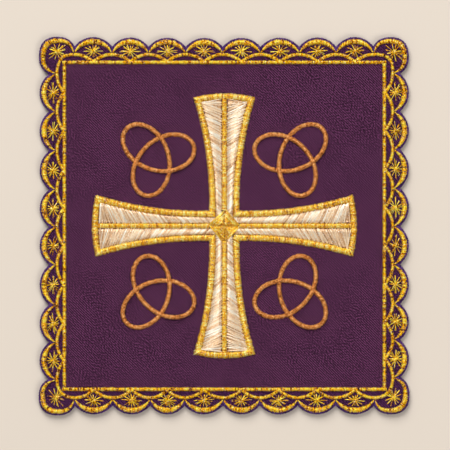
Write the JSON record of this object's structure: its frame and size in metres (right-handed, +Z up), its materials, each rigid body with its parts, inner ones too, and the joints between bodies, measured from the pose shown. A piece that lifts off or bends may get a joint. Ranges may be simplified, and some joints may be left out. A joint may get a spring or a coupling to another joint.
{
  "type": "chalice pall",
  "caption": "Stiff flat square of violet twill with a scalloped gold satin-stitch border of crescents, arcs and stars, and a flared cross with knots in its angles.",
  "frame": {"origin": "middle of the underside, on the surface that the pall lies on", "axes": "+Z up out of the embroidered face, +Y towards the top edge as seen by the user, +X towards the right edge"},
  "size_m": [0.15, 0.153, 0.0036],
  "materials": {
    "violet_cloth": "matte twill weave",
    "gold_thread": "metallic satin stitch",
    "silver_thread": "metallic satin stitch",
    "copper_thread": "metallic satin stitch"
  },
  "bodies": {
    "root": {"pall_cloth": "violet_cloth", "frame_and_arcs": "gold_thread", "outer_scallops": "gold_thread", "star_01": "gold_thread", "star_02": "gold_thread", "star_03": "gold_thread", "star_04": "gold_thread", "star_05": "gold_thread", "star_06": "gold_thread", "star_07": "gold_thread", "star_08": "gold_thread", "star_09": "gold_thread", "star_10": "gold_thread", "star_11": "gold_thread", "star_12": "gold_thread", "star_13": "gold_thread", "star_14": "gold_thread", "star_15": "gold_thread", "star_16": "gold_thread", "star_17": "gold_thread", "star_18": "gold_thread", "star_19": "gold_thread", "star_20": "gold_thread", "star_21": "gold_thread", "star_22": "gold_thread", "star_23": "gold_thread", "star_24": "gold_thread", "star_25": "gold_thread", "star_26": "gold_thread", "star_27": "gold_thread", "star_28": "gold_thread", "star_29": "gold_thread", "star_30": "gold_thread", "star_31": "gold_thread", "star_32": "gold_thread", "star_33": "gold_thread", "star_34": "gold_thread", "star_35": "gold_thread", "star_36": "gold_thread", "cross_outline": "gold_thread", "cross_lozenge": "gold_thread", "cross_spine_1": "gold_thread", "cross_spine_2": "gold_thread", "cross_spine_3": "gold_thread", "cross_spine_4": "gold_thread", "cross_panel_1": "silver_thread", "cross_panel_2": "silver_thread", "cross_panel_3": "silver_thread", "cross_panel_4": "silver_thread", "cross_panel_5": "silver_thread", "cross_panel_6": "silver_thread", "cross_panel_7": "silver_thread", "cross_panel_8": "silver_thread", "knot_cord_1": "copper_thread", "knot_cord_2": "copper_thread", "knot_cord_3": "copper_thread", "knot_cord_4": "copper_thread"}
  },
  "joints": []
}
